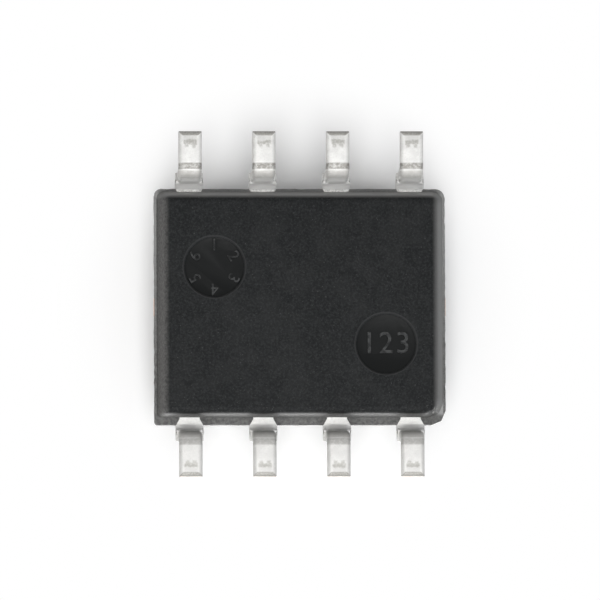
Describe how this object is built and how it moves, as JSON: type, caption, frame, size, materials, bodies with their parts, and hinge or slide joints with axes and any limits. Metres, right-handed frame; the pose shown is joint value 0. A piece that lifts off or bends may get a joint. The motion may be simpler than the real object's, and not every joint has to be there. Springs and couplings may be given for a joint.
{
  "type": "gull-wing controller chip",
  "caption": "Small-outline moulded chip with gull-wing leads along both long sides, a die and bond wires inside, for switching-supply control on a circuit board.",
  "frame": {"origin": "middle of the plane that the eight feet stand on", "axes": "+Z away from the board; X along the body's long side; the leads leave the body along +Y and -Y, leads 1 to 4 on -Y counted from -X"},
  "size_m": [0.005, 0.006, 0.0016],
  "materials": {
    "moulded_epoxy": "fine-grained mould texture, dull charcoal",
    "tinned_leads": "matte electroplated tin over copper alloy",
    "copper_pad": "bare rolled copper alloy",
    "silver_glue": "cured silver-filled epoxy",
    "silicon": "polished silicon",
    "gold_wire": "drawn gold"
  },
  "bodies": {
    "root": {"package_body": "moulded_epoxy", "lead_1": "tinned_leads", "lead_2": "tinned_leads", "lead_3": "tinned_leads", "lead_4": "tinned_leads", "lead_5": "tinned_leads", "lead_6": "tinned_leads", "lead_7": "tinned_leads", "lead_8": "tinned_leads", "die_pad": "copper_pad", "die_attach": "silver_glue", "die": "silicon", "bond_wire_1": "gold_wire", "bond_wire_2": "gold_wire", "bond_wire_3": "gold_wire", "bond_wire_4": "gold_wire", "bond_wire_5": "gold_wire", "bond_wire_6": "gold_wire", "bond_wire_7": "gold_wire", "bond_wire_8": "gold_wire"}
  },
  "joints": []
}
